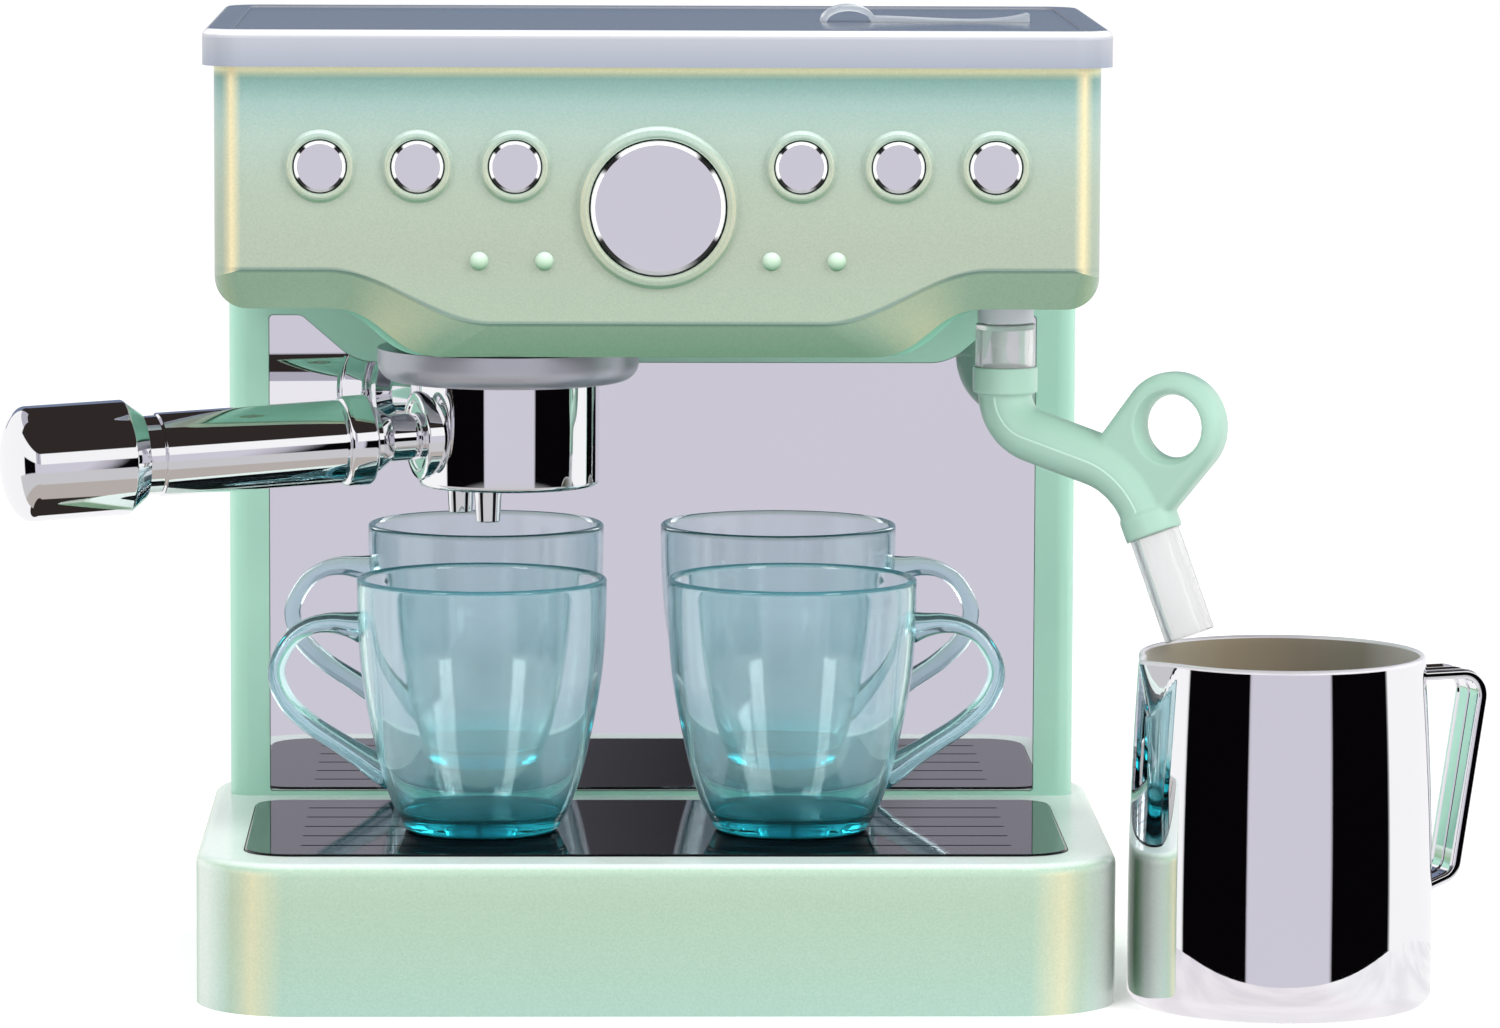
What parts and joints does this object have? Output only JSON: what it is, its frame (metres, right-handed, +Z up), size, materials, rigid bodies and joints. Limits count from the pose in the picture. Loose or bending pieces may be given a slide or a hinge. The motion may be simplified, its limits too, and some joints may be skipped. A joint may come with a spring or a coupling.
{
  "type": "toy coffee maker",
  "caption": "Toy espresso machine with a lift-off lid, push buttons, bayonet portafilter, swinging steam wand, lift-out tray, teal cups and a milk jug.",
  "frame": {"origin": "centre of the base's underside, on the surface the toy stands on", "axes": "+X to the user's right along the longest extent, the front of the toy faces -Y, +Z up"},
  "size_m": [0.3903, 0.175, 0.2576],
  "materials": {
    "pearl_mint": "pearl paint over moulded plastic",
    "mint_plastic": "moulded gloss",
    "tray_black": "gloss",
    "mirror_plate": "vacuum plated plastic sheet",
    "plated": "bright vacuum plated plastic",
    "satin_silver": "satin silver paint on plastic",
    "grey_plastic": "moulded",
    "frosted_lid": "frosted translucent plastic",
    "clear_plastic": "clear moulded plastic",
    "clear_teal": "clear tinted plastic",
    "screw_steel": "zinc plated",
    "hose_rubber": "soft translucent"
  },
  "bodies": {
    "machine": {"base_shell": "pearl_mint", "rear_housing": "mint_plastic", "mirror_panel": "mirror_plate", "head_shell": "pearl_mint", "head_underside": "mint_plastic", "group_collar": "satin_silver", "wand_bush": "grey_plastic", "base_cover": "mint_plastic", "base_screws": "screw_steel", "column_screws": "screw_steel", "rear_cover": "mint_plastic", "rear_screws": "screw_steel", "underside_screws": "screw_steel", "water_tank": "frosted_lid", "button_carrier": "grey_plastic", "carrier_screws": "screw_steel", "valve_body": "grey_plastic", "supply_hose": "hose_rubber", "brew_hose": "hose_rubber", "brew_spring": "screw_steel", "select_spring_1": "screw_steel", "select_spring_2": "screw_steel", "select_spring_3": "screw_steel", "select_spring_4": "screw_steel", "select_spring_5": "screw_steel", "select_spring_6": "screw_steel"},
    "lid": {"tank_lid": "frosted_lid", "lid_tab": "clear_plastic"},
    "tray": {"drip_tray": "tray_black"},
    "left_cup": {"cup_left": "clear_teal"},
    "right_cup": {"cup_right": "clear_teal"},
    "portafilter": {"portafilter_basket": "plated", "portafilter_handle": "plated", "handle_end_cap": "plated"},
    "steam_wand": {"wand_upper_tube": "clear_plastic", "wand_elbow": "mint_plastic", "wand_lower_tube": "clear_plastic"},
    "milk_jug": {"jug_body": "plated", "jug_handle": "plated"},
    "large_button": {"brew_button": "plated"},
    "small_button_1": {"select_button_1": "plated"},
    "small_button_2": {"select_button_2": "plated"},
    "small_button_3": {"select_button_3": "plated"},
    "small_button_4": {"select_button_4": "plated"},
    "small_button_5": {"select_button_5": "plated"},
    "small_button_6": {"select_button_6": "plated"}
  },
  "joints": [
    {"name": "lid_lift", "type": "slide", "parent": "machine", "child": "lid", "axis": [0, 0, 1], "range_m": [0, 0.06]},
    {"name": "tray_lift", "type": "slide", "parent": "machine", "child": "tray", "axis": [0, 0, 1], "range_m": [0, 0.01]},
    {"name": "left_cup_out", "type": "slide", "parent": "tray", "child": "left_cup", "axis": [0, -1, 0], "range_m": [0, 0.13]},
    {"name": "right_cup_out", "type": "slide", "parent": "tray", "child": "right_cup", "axis": [0, -1, 0], "range_m": [0, 0.13]},
    {"name": "portafilter_turn", "type": "hinge", "parent": "machine", "child": "portafilter", "pos_m": [-0.039, -0.012, 0.164], "axis": [0, 0, 1], "range_deg": [-22, 66]},
    {"name": "wand_swing", "type": "hinge", "parent": "machine", "child": "steam_wand", "pos_m": [0.0924, -0.016, 0.18], "axis": [0, 0, 1], "range_deg": [-70, 45]},
    {"name": "jug_away", "type": "slide", "parent": "machine", "child": "milk_jug", "axis": [1, 0, 0], "range_m": [0, 0.1]},
    {"name": "large_button_press", "type": "slide", "parent": "machine", "child": "large_button", "axis": [0, 1, 0], "range_m": [0, 0.004], "stiffness_N_per_m": 350, "springref_m": -0.001, "deforming": ["brew_spring"]},
    {"name": "small_button_1_press", "type": "slide", "parent": "machine", "child": "small_button_1", "axis": [0, 1, 0], "range_m": [0, 0.002], "stiffness_N_per_m": 150, "springref_m": -0.0005, "deforming": ["select_spring_1"]},
    {"name": "small_button_2_press", "type": "slide", "parent": "machine", "child": "small_button_2", "axis": [0, 1, 0], "range_m": [0, 0.002], "stiffness_N_per_m": 150, "springref_m": -0.0005, "deforming": ["select_spring_2"]},
    {"name": "small_button_3_press", "type": "slide", "parent": "machine", "child": "small_button_3", "axis": [0, 1, 0], "range_m": [0, 0.002], "stiffness_N_per_m": 150, "springref_m": -0.0005, "deforming": ["select_spring_3"]},
    {"name": "small_button_4_press", "type": "slide", "parent": "machine", "child": "small_button_4", "axis": [0, 1, 0], "range_m": [0, 0.002], "stiffness_N_per_m": 150, "springref_m": -0.0005, "deforming": ["select_spring_4"]},
    {"name": "small_button_5_press", "type": "slide", "parent": "machine", "child": "small_button_5", "axis": [0, 1, 0], "range_m": [0, 0.002], "stiffness_N_per_m": 150, "springref_m": -0.0005, "deforming": ["select_spring_5"]},
    {"name": "small_button_6_press", "type": "slide", "parent": "machine", "child": "small_button_6", "axis": [0, 1, 0], "range_m": [0, 0.002], "stiffness_N_per_m": 150, "springref_m": -0.0005, "deforming": ["select_spring_6"]}
  ]
}
